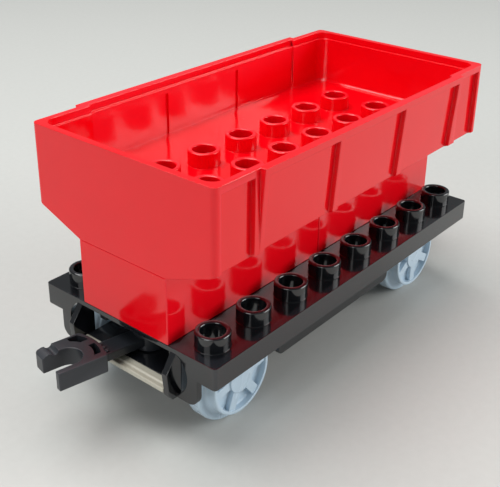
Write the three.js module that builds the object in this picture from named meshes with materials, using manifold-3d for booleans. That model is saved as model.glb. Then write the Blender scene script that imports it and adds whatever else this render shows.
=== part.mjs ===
// Toy goods wagon of a stud-and-tube building system, in millimetres.
// +X runs along the wagon with the hook at the -X end, +Y across it, +Z up.
// The origin is on the ground under the middle of the deck.

import * as THREE from 'three';
import { mergeVertices } from 'three/addons/utils/BufferGeometryUtils.js';
import Module from 'manifold-3d';

const wasm = await Module();
wasm.setup();

// ---------------------------------------------------------------- stud system

const studPitch = 16.0;
const pitchPlay = 0.2; // a moulding is this much shorter than its whole pitches
const brickHeight = 19.2;
const studDiameter = 9.4;
const studBoreDiameter = 6.6;
const studHeight = 4.4;
const tubeGap = 0.3; // between a tube and the four studs around it
const tubeWall = 1.3;
const studSides = 12;
const studBoreSides = 8;
const tubeSides = 12;

// ---------------------------------------------------------------- clearances

const pressGap = 0.02; // radial, between a shaft and the part pressed on it
const runningGap = 0.08; // radial, between a shaft and the bore it turns in
const looseGap = 0.3; // between faces that pass each other
const overlapDepth = 0.5; // how far solids of one moulding run into each other
const cutMargin = 1.0; // how far a cutting solid passes the face it opens

// ---------------------------------------------------------------- wheels and axles

const flangeRadius = 13.9;
const flangeWidth = 4.4;
const treadRadius = 11.0;
const wheelWidth = 7.7;
const wheelFaceY = 24.7; // outer face of a wheel from the wagon's middle
const wheelEdge = 0.4; // chamfer on the flange and on the face's rim
const wheelFillet = 1.0; // between the flange and the tread
const wheelRimWall = 1.1;
const wheelFaceRecess = 0.4; // spokes lie this far behind the rim and hub faces
const wheelHubRadius = 4.6;
const wheelBossLength = 2.2; // inner boss that spaces the wheel from its saddle
const wheelBackDepth = 3.0;
const wheelBackRim = 2.6;
const wheelBackSides = 20;
const spokeCount = 6;
const spokeWidth = 2.8;
const spokeDepth = 1.9; // from the face down to the floor between two spokes
const frontSpokeTurn = 52; // degrees from +X to the first spoke, as the wheelset stands
const rearSpokeTurn = 30;
const wheelSides = 30;
const axleSpacing = 90.2;
const axleRadius = 2.0;
const axleHoleFloor = 1.7; // material left between the axle's end and the hub face
const axleSides = 16;

// ---------------------------------------------------------------- chassis

const deckStudsLong = 8;
const deckStudsWide = 4;
const deckPlate = 1.5;
const flangeHeadroom = 0.4; // from the top of a flange to the plate above it
const deckCornerRadius = 1.0;
const skirtHeight = 6.5;
const skirtWall = 1.8;
const bellyWheelGap = 2.7; // from the flange to the belly's end wall
const bellyHalfWidth = 24.0;
const bellyDepth = 18.3; // below the deck's top
const bellyCornerRadius = 2.0;
const bellyWall = 1.8;
const bellyRib = 1.5;
const bellyCellsLong = 4;
const bellyCellsWide = 3;
const ribWidth = 2.5;
const ribDepth = 6.5;
const ribEndGap = 4.0; // from the end wall's outer face to the rib's end
const saddleSideGap = 0.3; // from the saddle rib to the wheel's boss
const saddleHalfLength = 3.6;
const saddleLip = 2.6; // saddle below the axle's centre
const saddleSlotWidth = 3.4;

// ---------------------------------------------------------------- coupling seats

const cheekInnerY = 16.8;
const cheekWall = 1.9;
const cheekReach = 3.5; // past the end wall
const cheekNoseDrop = 6.0;
const cheekChinDrop = 12.8;
const cheekChinReach = 2.8;
const cheekWheelGap = 0.8;
const legDepth = 14.5;
const legOuterY = 25.8;
const legShoulderDrop = 7.0;
const legCornerRadius = 3.0;
const windowTopDrop = 1.5;
const windowBottomDrop = 13.4;
const windowBulge = 3.5;
const windowSteps = 6;
const pivotInset = 8.9; // from the end wall's outer face to the swivel post
const postRadius = 2.3;
const postCollarRadius = 4.0;
const postCollarDrop = 3.6;
const postTail = 0.5; // post showing below its keeper
const keeperTopDrop = 10.9;
const keeperThickness = 1.8;
const endBarReach = 2.8;
const endBarDepth = 3.6;
const keeperWheelGap = 0.7;

// ---------------------------------------------------------------- hook

const hookRestAngle = -11.7; // degrees about +Z, as it stands
const hookTopDrop = 3.8;
const hookHeadHeight = 5.3;
const hookHeadStart = 18.4; // pivot to the back of the jaw collar
const hookHeadWidth = 13.4;
const hookAxisInset = 6.7; // right-hand face to the hook's axis
const hookRightArmWidth = 1.85;
const hookRightArmLength = 12.1;
const hookLeftArmWidth = 4.2;
const hookLeftArmLength = 12.0;
const hookJawDepth = 3.0;
const hookNotchStart = 7.5;
const hookNotchEnd = 9.3;
const hookNotchDepth = 1.2;
const hookTipDrop = 0.5;
const hookBackReach = 2.6;
const hookRimWall = 1.0;
const hookCollarWall = 2.9;
const hookPocketDepth = 3.4;
const hookWebWidth = 2.4;
const hookStemWidth = 6.0;
const hookStemDrop = 6.5;
const hookStemThickness = 2.5;
const eyeRadius = 4.6;
const eyeSides = 24;

// ---------------------------------------------------------------- rear drawbar

const drawbarPinReach = 25.0; // pivot to the upright pin
const drawbarPinRadius = 3.3;
const drawbarPinTopDrop = 3.2;
const drawbarFootDrop = 9.7;
const drawbarFootThickness = 2.5;
const drawbarFootRadius = 4.5;
const drawbarStepReach = 14.6; // pivot to where the tongue steps down
const drawbarStepLength = 2.5;

// ---------------------------------------------------------------- bricks

const brickStudsLong = 4;
const brickStudsWide = 2;
const brickWall = 1.6;
const brickRoof = 1.8;

// ---------------------------------------------------------------- hopper

const hopperWall = 2.5;
const hopperSlopeRise = 6.1; // outer slope, from the base up to the long wall
const hopperFloorRise = 11.3; // base to the top of the floor
const hopperFloor = 1.8;
const hopperHeight = 28.85;
const hopperCornerRadius = 1.8;
const hopperRimBand = 2.2;
const hopperPanelDepth = 1.4;
const hopperFlare = 1.6;
const hopperFlareHalfLength = 47.9;
const hopperFlareWall = 2.5; // the wider room inside stops this much short of the flare
const hopperBulge = 0.8; // the room's long faces stand out this much along the flare
const hopperRoomRadius = 3.5;
const hopperStudsLong = 6;
const hopperRibX = 16.0;
const hopperRibWidth = 2.4;
const hopperFlareStrip = 2.0;
const hopperEndStrip = 1.7;
const hopperPostWidth = 2.4;
const hopperLedgeRise = 0.6; // above the floor
const hopperLedgeWidth = 3.8; // in from the straight wall, its slope included
const hopperLedgeSlope = 2.6;
const hopperLipDepth = 2.3;
const hopperLipWidth = 0.5;
const hopperFlareLip = 0.9; // the lip along the flare
const hopperGrooveWidth = 1.2;
const hopperGrooveDepth = 0.6;
const hopperGrooveTopGap = 1.8; // from the lip down to a groove

// ---------------------------------------------------------------- sizes that follow

const axleHeight = flangeRadius;
const deckTop = 2 * flangeRadius + flangeHeadroom + deckPlate;
const plateUnder = deckTop - deckPlate;
const deckLength = deckStudsLong * studPitch - pitchPlay;
const deckWidth = deckStudsWide * studPitch - pitchPlay;
const deckEndX = deckLength / 2;
const axleX = axleSpacing / 2;
const wheelInnerY = wheelFaceY - wheelWidth;
const bossInnerY = wheelInnerY - wheelBossLength;
const ribOuterY = bossInnerY - saddleSideGap;
const bellyHalfLength = axleX - flangeRadius - bellyWheelGap;
const cheekBackX = axleX + flangeRadius + cheekWheelGap;
const pivotX = deckEndX - pivotInset;
const tubeDiameter = Math.SQRT2 * studPitch - studDiameter - 2 * tubeGap;
const brickLength = brickStudsLong * studPitch - pitchPlay;
const brickWidth = brickStudsWide * studPitch - pitchPlay;
const hopperBaseZ = deckTop + brickHeight;
const hopperSideY = deckWidth / 2;

// ---------------------------------------------------------------- solids

// A closed three.js geometry as a solid, turned outward if its faces point in.
function solidFrom(geometry) {
  const bare = geometry.clone();
  bare.deleteAttribute('normal');
  bare.deleteAttribute('uv');
  const merged = mergeVertices(bare, 1e-4);
  const positions = new Float32Array(merged.attributes.position.array);
  const corners = new Uint32Array(merged.index.array);
  const solid = new wasm.Manifold(new wasm.Mesh({
    numProp: 3, vertProperties: positions, triVerts: corners }));
  if (solid.volume() > 0) return solid;
  for (let i = 0; i < corners.length; i += 3) {
    [corners[i], corners[i + 1]] = [corners[i + 1], corners[i]];
  }
  return new wasm.Manifold(new wasm.Mesh({
    numProp: 3, vertProperties: positions, triVerts: corners }));
}

// A box between two opposite corners.
function block(x0, x1, y0, y1, z0, z1) {
  const geometry = new THREE.BoxGeometry(x1 - x0, y1 - y0, z1 - z0);
  geometry.translate((x0 + x1) / 2, (y0 + y1) / 2, (z0 + z1) / 2);
  return solidFrom(geometry);
}

// A round bar standing along Z.
function upright(radius, x, y, z0, z1, sides) {
  const geometry = new THREE.CylinderGeometry(radius, radius, z1 - z0, sides);
  geometry.rotateX(Math.PI / 2);
  geometry.translate(x, y, (z0 + z1) / 2);
  return solidFrom(geometry);
}

// A round bar lying along Y.
function crossbar(radius, x, z, y0, y1, sides) {
  const geometry = new THREE.CylinderGeometry(radius, radius, y1 - y0, sides);
  geometry.translate(x, (y0 + y1) / 2, z);
  return solidFrom(geometry);
}

// An outline [[u, v], ...] given thickness along its own normal, from 0 to depth.
function slab(outline, depth) {
  const shape = new THREE.Shape(outline.map(([u, v]) => new THREE.Vector2(u, v)));
  return new THREE.ExtrudeGeometry(shape, { depth, bevelEnabled: false });
}

// An outline in X and Y raised from z0 to z1.
function raised(outline, z0, z1) {
  const geometry = slab(outline, z1 - z0);
  geometry.translate(0, 0, z0);
  return solidFrom(geometry);
}

// An outline in X and Z carried across from y0 to y1.
function carriedAcross(outline, y0, y1) {
  const geometry = slab(outline, y1 - y0);
  geometry.rotateX(Math.PI / 2);
  geometry.translate(0, y1, 0);
  return solidFrom(geometry);
}

// An outline in Y and Z carried along from x0 to x1.
function carriedAlong(outline, x0, x1) {
  const geometry = slab(outline, x1 - x0);
  geometry.rotateY(Math.PI / 2);
  geometry.rotateX(Math.PI / 2);
  geometry.translate(x0, 0, 0);
  return solidFrom(geometry);
}

function joined(solids) {
  return solids.reduce((all, solid) => all.add(solid));
}

function cutBy(solid, cutters) {
  return cutters.reduce((left, cutter) => left.subtract(cutter), solid);
}

// The four points of a quarter-round corner about a centre, from one angle on by 90 degrees.
function cornerArc(cx, cy, radius, fromDegrees) {
  return [0, 30, 60, 90].map((step) => {
    const angle = THREE.MathUtils.degToRad(fromDegrees + step);
    return [cx + radius * Math.cos(angle), cy + radius * Math.sin(angle)];
  });
}

// A rectangle about the origin with rounded corners.
function roundedRectangle(length, width, radius) {
  const x = length / 2 - radius;
  const y = width / 2 - radius;
  return [
    ...cornerArc(x, y, radius, 0),
    ...cornerArc(-x, y, radius, 90),
    ...cornerArc(-x, -y, radius, 180),
    ...cornerArc(x, -y, radius, 270),
  ];
}

// Stud centres of a grid, about (centreX, 0).
function studCentres(countLong, countWide, centreX) {
  const centres = [];
  for (let i = 0; i < countLong; i += 1) {
    for (let j = 0; j < countWide; j += 1) {
      const x = centreX + (i - (countLong - 1) / 2) * studPitch;
      const y = (j - (countWide - 1) / 2) * studPitch;
      centres.push([x, y]);
    }
  }
  return centres;
}

// Adds hollow studs on a plate, with each stud's bore running through the plate.
function withStuds(solid, centres, plateTop, plateThickness) {
  const studs = centres.map(([x, y]) => upright(
    studDiameter / 2, x, y, plateTop - overlapDepth, plateTop + studHeight, studSides));
  const bores = centres.map(([x, y]) => upright(
    studBoreDiameter / 2, x, y, plateTop - plateThickness - overlapDepth,
    plateTop + studHeight + cutMargin, studBoreSides));
  return cutBy(joined([solid, ...studs]), bores);
}

// Tubes hanging under a plate between its studs, open at the bottom.
function withTubes(solid, countLong, centreX, z0, plateUnderside) {
  const radius = tubeDiameter / 2;
  let result = solid;
  for (let i = 1; i < countLong; i += 1) {
    const x = centreX + (i - countLong / 2) * studPitch;
    const tube = upright(radius, x, 0, z0, plateUnderside + overlapDepth, tubeSides);
    const bore = upright(radius - tubeWall, x, 0, z0 - cutMargin, plateUnderside, tubeSides);
    result = result.add(tube).subtract(bore);
  }
  return result;
}

// ---------------------------------------------------------------- chassis moulding

// Deck plate with the skirt around its edge.
function deckShell() {
  const outline = roundedRectangle(deckLength, deckWidth, deckCornerRadius);
  const tray = raised(outline, deckTop - skirtHeight, deckTop);
  const insideX = deckEndX - skirtWall;
  const insideY = deckWidth / 2 - skirtWall;
  const hollow = block(-insideX, insideX, -insideY, insideY,
    deckTop - skirtHeight - cutMargin, plateUnder);
  return tray.subtract(hollow);
}

// Rectangular belly between the wheels, divided into cells that open downward.
function bellyFrame() {
  const bottom = deckTop - bellyDepth;
  const top = plateUnder + overlapDepth;
  const x = bellyHalfLength - bellyCornerRadius;
  const z = bottom + bellyCornerRadius;
  const profile = [
    ...cornerArc(-x, z, bellyCornerRadius, 180),
    ...cornerArc(x, z, bellyCornerRadius, 270),
    [bellyHalfLength, top],
    [-bellyHalfLength, top],
  ];
  const shell = carriedAcross(profile, -bellyHalfWidth, bellyHalfWidth);
  const roomX = 2 * (bellyHalfLength - bellyWall);
  const roomY = 2 * (bellyHalfWidth - bellyWall);
  const cellX = (roomX - (bellyCellsLong - 1) * bellyRib) / bellyCellsLong;
  const cellY = (roomY - (bellyCellsWide - 1) * bellyRib) / bellyCellsWide;
  const cells = [];
  for (let i = 0; i < bellyCellsLong; i += 1) {
    for (let j = 0; j < bellyCellsWide; j += 1) {
      const x0 = -roomX / 2 + i * (cellX + bellyRib);
      const y0 = -roomY / 2 + j * (cellY + bellyRib);
      cells.push(block(x0, x0 + cellX, y0, y0 + cellY, bottom - cutMargin, plateUnder));
    }
  }
  return cutBy(shell, cells);
}

// One rib under the deck with the saddle that an axle snaps into.
function saddleRib(end, side) {
  const x0 = bellyHalfLength - overlapDepth;
  const x1 = deckEndX - ribEndGap;
  const y0 = ribOuterY - ribWidth;
  const rib = block(x0, x1, y0, ribOuterY, deckTop - ribDepth, plateUnder + overlapDepth);
  const saddle = block(axleX - saddleHalfLength, axleX + saddleHalfLength, y0, ribOuterY,
    axleHeight - saddleLip, plateUnder + overlapDepth);
  const bore = crossbar(axleRadius + runningGap, axleX, axleHeight,
    y0 - cutMargin, ribOuterY + cutMargin, eyeSides);
  const slot = block(axleX - saddleSlotWidth / 2, axleX + saddleSlotWidth / 2,
    y0 - cutMargin, ribOuterY + cutMargin, axleHeight - saddleLip - cutMargin, axleHeight);
  const whole = cutBy(rib.add(saddle), [bore, slot]);
  return whole.scale([end, side, 1]);
}

// Deep leg of the +X end wall on the +Y side, with the bowed window beside its cheek.
function endLeg() {
  const y = legOuterY - legCornerRadius;
  const z = deckTop - legDepth + legCornerRadius;
  const outline = [
    [cheekInnerY, deckTop - legDepth],
    ...cornerArc(y, z, legCornerRadius, 270),
    [legOuterY, deckTop - legShoulderDrop],
    [legOuterY, plateUnder + overlapDepth],
    [cheekInnerY, plateUnder + overlapDepth],
  ];
  return carriedAlong(outline, deckEndX - skirtWall, deckEndX);
}

// Cutter for the window: straight along the cheek, bowed on its other side.
function legWindow() {
  const top = deckTop - windowTopDrop;
  const bottom = deckTop - windowBottomDrop;
  const chord = top - bottom;
  const radius = (chord * chord / 4 + windowBulge * windowBulge) / (2 * windowBulge);
  const centreY = cheekInnerY + cheekWall + windowBulge - radius;
  const half = Math.asin(chord / 2 / radius);
  const outline = [];
  for (let i = 0; i <= windowSteps; i += 1) {
    const angle = -half + 2 * half * i / windowSteps;
    outline.push([centreY + radius * Math.cos(angle),
      (top + bottom) / 2 + radius * Math.sin(angle)]);
  }
  return carriedAlong(outline, deckEndX - skirtWall - cutMargin, deckEndX + cutMargin);
}

// Cheek plate that stands out of the end wall beside the coupling.
function cheek() {
  const outline = [
    [cheekBackX, deckTop - legDepth],
    [deckEndX + cheekChinReach / 2, deckTop - legDepth],
    [deckEndX + cheekChinReach, deckTop - cheekChinDrop],
    [deckEndX + cheekReach, deckTop - cheekNoseDrop],
    [deckEndX, plateUnder + overlapDepth / 2],
    [cheekBackX, plateUnder + overlapDepth / 2],
  ];
  return carriedAcross(outline, cheekInnerY, cheekInnerY + cheekWall);
}

// Everything of one coupling end, built at +X and mirrored for -X.
function couplingEnd(shell, end) {
  const doorway = block(deckEndX - skirtWall - cutMargin, deckEndX + cutMargin,
    -cheekInnerY, cheekInnerY, deckTop - legDepth - cutMargin, plateUnder);
  const flip = (solid) => solid.scale([end, 1, 1]);
  let result = shell.subtract(flip(doorway));
  for (const side of [-1, 1]) {
    const leg = endLeg().scale([end, side, 1]);
    const window = legWindow().scale([end, side, 1]);
    result = result.add(leg).subtract(window).add(cheek().scale([end, side, 1]));
  }
  const postEnd = deckTop - keeperTopDrop - keeperThickness - postTail;
  const post = upright(postRadius, pivotX, 0, postEnd, plateUnder + overlapDepth, eyeSides);
  const collar = upright(postCollarRadius, pivotX, 0, deckTop - postCollarDrop,
    plateUnder + overlapDepth, eyeSides);
  return joined([result, flip(post), flip(collar)]);
}

function chassisSolid() {
  let solid = deckShell();
  for (const end of [-1, 1]) {
    solid = couplingEnd(solid, end);
    for (const side of [-1, 1]) solid = solid.add(saddleRib(end, side));
  }
  solid = solid.add(bellyFrame());
  return withStuds(solid, studCentres(deckStudsLong, deckStudsWide, 0), deckTop, deckPlate);
}

// ---------------------------------------------------------------- keeper plate

// Plate pushed onto the end of a swivel post, seen at the +X end.
function keeperSolid() {
  const backX = axleX + saddleHalfLength + keeperWheelGap;
  const frontX = deckEndX + endBarReach - endBarDepth;
  const halfWidth = cheekInnerY - looseGap;
  const top = deckTop - keeperTopDrop;
  const plate = block(backX, frontX, -halfWidth, halfWidth, top - keeperThickness, top);
  const hole = upright(postRadius + pressGap, pivotX, 0,
    top - keeperThickness - cutMargin, top + cutMargin, eyeSides);
  return plate.subtract(hole);
}

// Bar along the outer edge of the keeper plate, seen at the +X end.
function endBarSolid() {
  const frontX = deckEndX + endBarReach;
  const halfWidth = cheekInnerY - looseGap;
  const top = deckTop - keeperTopDrop;
  return block(frontX - endBarDepth, frontX, -halfWidth, halfWidth,
    top - keeperThickness, top);
}

// ---------------------------------------------------------------- hook coupling

// In the hook's own frame the pivot is the origin and the jaw opens toward -X.
// A point is given by its reach past the collar and its distance from the right-hand face.
function hookPoint(reach, across) {
  return [-(hookHeadStart + reach), across - hookAxisInset];
}

// Outline of the head seen from above, with its rounded back.
function hookHeadOutline() {
  const back = [[-1.2, 0], [-1.7, 0.3], [-2.2, 2.6], [-hookBackReach, 5.2],
    [-hookBackReach, 7.4], [-1.8, 10.6], [-0.6, hookHeadWidth]];
  const leftInner = hookHeadWidth - hookLeftArmWidth;
  const jawRadius = (leftInner - hookRightArmWidth) / 2;
  const jawCentre = hookRightArmWidth + jawRadius;
  const jaw = [0, 22.5, 45, 67.5, 90, 112.5, 135, 157.5, 180].map((step) => {
    const angle = THREE.MathUtils.degToRad(step);
    return [hookJawDepth + jawRadius * (1 - Math.sin(angle)),
      jawCentre + jawRadius * Math.cos(angle)];
  });
  const outline = [
    ...back,
    [hookLeftArmLength, hookHeadWidth],
    [hookLeftArmLength, leftInner],
    ...jaw,
    [hookRightArmLength, hookRightArmWidth],
    [hookRightArmLength, 0],
  ];
  return outline.map(([reach, across]) => hookPoint(reach, across));
}

// Pockets sunk into the head's top between the jaw collar and the thin back rim.
function hookPockets(top) {
  const leftInner = hookHeadWidth - hookLeftArmWidth;
  const jawRadius = (leftInner - hookRightArmWidth) / 2;
  const [collarX, collarY] = hookPoint(hookJawDepth + jawRadius, hookRightArmWidth + jawRadius);
  const collar = upright(jawRadius + hookCollarWall, collarX, collarY,
    top - hookPocketDepth - cutMargin, top + 2 * cutMargin, eyeSides);
  const room = [
    [-0.8, hookRightArmWidth], [-1.2, 2.8], [-hookBackReach + hookRimWall, 5.2],
    [-hookBackReach + hookRimWall, 7.4], [-0.7, 10.4],
    [0.5, hookHeadWidth - hookRimWall], [3.2, hookHeadWidth - hookRimWall],
    [3.2, hookRightArmWidth],
  ].map(([reach, across]) => hookPoint(reach, across));
  const pocket = raised(room, top - hookPocketDepth, top + cutMargin);
  const webY = hookPoint(0, hookAxisInset)[1];
  const web = block(-hookHeadStart - hookHeadWidth, -hookHeadStart + hookHeadWidth,
    webY, webY + hookWebWidth, top - hookPocketDepth - cutMargin, top + 2 * cutMargin);
  return cutBy(pocket, [collar, web]);
}

// Round-bottomed notch across the left arm, and the slightly lower tip beyond it.
function hookNotch(top) {
  const radius = (hookNotchEnd - hookNotchStart) / 2;
  const [x] = hookPoint((hookNotchEnd + hookNotchStart) / 2, 0);
  const y0 = hookPoint(0, hookHeadWidth - hookLeftArmWidth)[1] - cutMargin;
  const y1 = hookPoint(0, hookHeadWidth)[1] + cutMargin;
  const groove = crossbar(radius, x, top - hookNotchDepth + radius, y0, y1, tubeSides);
  const open = block(x - radius, x + radius, y0, y1, top - hookNotchDepth + radius,
    top + cutMargin);
  const tipX = hookPoint(hookNotchEnd, 0)[0];
  const tip = block(hookPoint(hookLeftArmLength + cutMargin, 0)[0], tipX, y0, y1,
    top - hookTipDrop, top + cutMargin);
  return [groove, open, tip];
}

function hookSolid() {
  const top = -hookTopDrop;
  const bottom = top - hookHeadHeight;
  const head = raised(hookHeadOutline(), bottom, top);
  const cutHead = cutBy(head, [hookPockets(top), ...hookNotch(top)]);
  const stem = block(-hookHeadStart + hookBackReach - overlapDepth, 0,
    -hookStemWidth / 2, hookStemWidth / 2, -hookStemDrop - hookStemThickness, -hookStemDrop);
  const eyeTop = -postCollarDrop - looseGap;
  const eyeBottom = -keeperTopDrop + looseGap;
  const eye = upright(eyeRadius, 0, 0, eyeBottom, eyeTop, eyeSides);
  const bore = upright(postRadius + runningGap, 0, 0, eyeBottom - cutMargin,
    eyeTop + cutMargin, eyeSides);
  return joined([cutHead, stem, eye]).subtract(bore);
}

// ---------------------------------------------------------------- rear drawbar

// In the drawbar's own frame the pivot is the origin and the pin stands toward +X.
function drawbarSolid() {
  const stemUnder = -hookStemDrop - hookStemThickness;
  const footTop = -drawbarFootDrop;
  const footUnder = footTop - drawbarFootThickness;
  const halfWidth = hookStemWidth / 2;
  const stepEnd = drawbarStepReach + drawbarStepLength;
  const stem = block(0, stepEnd, -halfWidth, halfWidth, stemUnder, -hookStemDrop);
  const step = block(drawbarStepReach, stepEnd, -halfWidth, halfWidth, footUnder, stemUnder);
  const foot = block(drawbarStepReach, drawbarPinReach, -halfWidth, halfWidth,
    footUnder, footTop);
  const pad = upright(drawbarFootRadius, drawbarPinReach, 0, footUnder, footTop, eyeSides);
  const pin = upright(drawbarPinRadius, drawbarPinReach, 0, footUnder,
    -drawbarPinTopDrop, eyeSides);
  const eyeTop = -postCollarDrop - looseGap;
  const eyeBottom = -keeperTopDrop + looseGap;
  const eye = upright(eyeRadius, 0, 0, eyeBottom, eyeTop, eyeSides);
  const bore = upright(postRadius + runningGap, 0, 0, eyeBottom - cutMargin,
    eyeTop + cutMargin, eyeSides);
  return joined([stem, step, foot, pad, pin, eye]).subtract(bore);
}

// ---------------------------------------------------------------- wheels

// A wheel about the Y axis with its outer face toward +Y, at its place across the wagon.
function wheelSolid(turn) {
  const flangeOuter = wheelInnerY + flangeWidth;
  const profile = [
    [0, wheelInnerY],
    [flangeRadius, wheelInnerY],
    [flangeRadius, flangeOuter - wheelEdge],
    [flangeRadius - wheelEdge, flangeOuter],
    [treadRadius + wheelFillet, flangeOuter],
    [treadRadius, flangeOuter + wheelFillet],
    [treadRadius, wheelFaceY - wheelEdge],
    [treadRadius - wheelEdge, wheelFaceY],
    [0, wheelFaceY],
  ].map(([radius, y]) => new THREE.Vector2(radius, y));
  const disc = solidFrom(new THREE.LatheGeometry(profile, wheelSides));
  const rimInner = treadRadius - wheelRimWall;
  const face = crossbar(rimInner, 0, 0, wheelFaceY - wheelFaceRecess,
    wheelFaceY + cutMargin, wheelSides);
  const hub = crossbar(wheelHubRadius, 0, 0, wheelFaceY - wheelFaceRecess - overlapDepth,
    wheelFaceY, eyeSides);
  const back = crossbar(flangeRadius - wheelBackRim, 0, 0, wheelInnerY - cutMargin,
    wheelInnerY + wheelBackDepth, wheelBackSides);
  const boss = crossbar(wheelHubRadius, 0, 0, bossInnerY,
    wheelInnerY + wheelBackDepth + overlapDepth, eyeSides);
  const hole = crossbar(axleRadius + pressGap, 0, 0, bossInnerY - cutMargin,
    wheelFaceY - axleHoleFloor, axleSides);
  const dished = cutBy(disc, [face, back, spokeWindows(turn)]);
  return joined([dished, hub, boss]).subtract(hole);
}

// The sunk ring of the face, less the parallel-sided spokes that cross it.
function spokeWindows(turn) {
  const outer = treadRadius - wheelRimWall;
  const bottom = wheelFaceY - spokeDepth;
  const ring = crossbar(outer, 0, 0, bottom, wheelFaceY + cutMargin, wheelSides);
  const hub = crossbar(wheelHubRadius, 0, 0, bottom - cutMargin,
    wheelFaceY + 2 * cutMargin, eyeSides);
  const spokes = [];
  for (let i = 0; i < spokeCount; i += 1) {
    const spoke = block(0, outer + cutMargin, bottom - cutMargin, wheelFaceY + 2 * cutMargin,
      -spokeWidth / 2, spokeWidth / 2);
    spokes.push(spoke.rotate([0, -turn - i * 360 / spokeCount, 0]));
  }
  return cutBy(ring, [hub, ...spokes]);
}

function axleSolid() {
  const half = wheelFaceY - axleHoleFloor - pressGap;
  return crossbar(axleRadius, 0, 0, -half, half, axleSides);
}

// ---------------------------------------------------------------- brick

// A 2 x 4 brick standing on z = 0 about the origin.
function brickSolid() {
  const x = brickLength / 2;
  const y = brickWidth / 2;
  const under = brickHeight - brickRoof;
  const shell = block(-x, x, -y, y, 0, brickHeight);
  const room = block(-x + brickWall, x - brickWall, -y + brickWall, y - brickWall,
    -cutMargin, under);
  const box = withTubes(shell.subtract(room), brickStudsLong, 0, 0, under);
  return withStuds(box, studCentres(brickStudsLong, brickStudsWide, 0), brickHeight, brickRoof);
}

// ---------------------------------------------------------------- hopper

// Cross-section of the outside, from the narrow base up the slopes to the rim.
function hopperOutline(rimY) {
  const baseY = brickWidth / 2;
  return [
    [-baseY, 0], [baseY, 0], [hopperSideY, hopperSlopeRise], [rimY, hopperHeight],
    [-rimY, hopperHeight], [-hopperSideY, hopperSlopeRise],
  ];
}

// Outer body: straight end lengths, and a middle length that flares toward the rim.
function hopperBody() {
  const rounded = raised(
    roundedRectangle(deckLength, deckWidth, hopperCornerRadius), 0, hopperHeight);
  const straight = carriedAlong(hopperOutline(hopperSideY), -deckEndX, deckEndX);
  const flared = carriedAlong(hopperOutline(hopperSideY + hopperFlare),
    -hopperFlareHalfLength, hopperFlareHalfLength);
  return straight.intersect(rounded).add(flared);
}

// A slice beyond a wall line that leans by a share of the flare, on the +Y side.
function wallSlice(x0, x1, depth, flare, top) {
  const low = -cutMargin;
  const lean = (z) => flare * (z - hopperSlopeRise) / (hopperHeight - hopperSlopeRise);
  const far = hopperSideY + hopperFlare + cutMargin;
  const outline = [
    [hopperSideY - depth + lean(low), low], [far, low], [far, top],
    [hopperSideY - depth + lean(top), top],
  ];
  return carriedAlong(outline, x0, x1);
}

// The sunk panels of the +Y wall, between corner posts, strips and ribs.
function hopperPanels() {
  const top = hopperHeight - hopperRimBand;
  const midX0 = hopperRibX + hopperRibWidth / 2;
  const midX1 = hopperFlareHalfLength - hopperFlareStrip;
  const innerX = hopperRibX - hopperRibWidth / 2;
  const endX0 = hopperFlareHalfLength + hopperEndStrip;
  const endX1 = deckEndX - hopperPostWidth;
  const panels = [wallSlice(-innerX, innerX, hopperPanelDepth, hopperFlare, top)];
  for (const end of [-1, 1]) {
    panels.push(wallSlice(midX0, midX1, hopperPanelDepth, hopperFlare, top).scale([end, 1, 1]));
    panels.push(wallSlice(endX0, endX1, hopperPanelDepth, 0, top).scale([end, 1, 1]));
  }
  return panels;
}

// The sloped ledge that runs low along the +Y wall of the wider room.
function hopperLedge(x, wallY) {
  const innerY = hopperSideY - hopperWall - hopperLedgeWidth;
  const low = hopperFloorRise - cutMargin;
  const high = hopperFloorRise + hopperLedgeRise;
  const outline = [
    [innerY, low], [wallY, low], [wallY, high],
    [innerY + hopperLedgeSlope, high], [innerY, hopperFloorRise],
  ];
  return carriedAlong(outline, -x, x);
}

// The room inside: rounded corners, wider along the flare, with a thinner lip at the rim.
function hopperRoom() {
  const x = deckEndX - hopperWall;
  const y = hopperSideY - hopperWall;
  const top = hopperHeight + cutMargin;
  const lip = hopperHeight - hopperLipDepth;
  const wideX = hopperFlareHalfLength - hopperFlareWall;
  const wideY = y + hopperBulge;
  const lipY = wideY + hopperFlareLip;
  const rounded = (grow, z0) => raised(
    roundedRectangle(2 * (x + grow), 2 * (y + grow), hopperRoomRadius), z0, top);
  const ledge = hopperLedge(wideX, wideY);
  const narrow = cutBy(rounded(0, hopperFloorRise), [ledge, ledge.scale([1, -1, 1])]);
  const wide = block(-wideX, wideX, -wideY, wideY, hopperFloorRise + hopperLedgeRise, top);
  const lipWide = block(-wideX, wideX, -lipY, lipY, lip, top);
  return joined([narrow, rounded(hopperLipWidth, lip), wide, lipWide]);
}

// The narrow grooves down the inside of the +Y wall, in line with the outer ribs.
function hopperGrooves() {
  const y = hopperSideY - hopperWall + hopperBulge;
  const low = hopperFloorRise + hopperLedgeRise;
  const top = hopperHeight - hopperLipDepth - hopperGrooveTopGap;
  return [-1, 1].map((end) => {
    const x = end * hopperRibX;
    return block(x - hopperGrooveWidth / 2, x + hopperGrooveWidth / 2,
      y - cutMargin, y + hopperGrooveDepth, low, top);
  });
}

function hopperSolid() {
  const under = hopperFloorRise - hopperFloor;
  let solid = hopperBody().subtract(hopperRoom());
  for (const side of [-1, 1]) {
    const cutters = [...hopperPanels(), ...hopperGrooves()];
    solid = cutBy(solid, cutters.map((cutter) => cutter.scale([1, side, 1])));
  }
  const x = deckEndX - brickWall;
  const y = brickWidth / 2 - brickWall;
  const socket = block(-x, x, -y, y, -cutMargin, under);
  const floored = withTubes(solid.subtract(socket), deckStudsLong, 0, 0, under);
  const centres = studCentres(hopperStudsLong, brickStudsWide, 0);
  return withStuds(floored, centres, hopperFloorRise, hopperFloor);
}

// ---------------------------------------------------------------- the assembly

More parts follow.
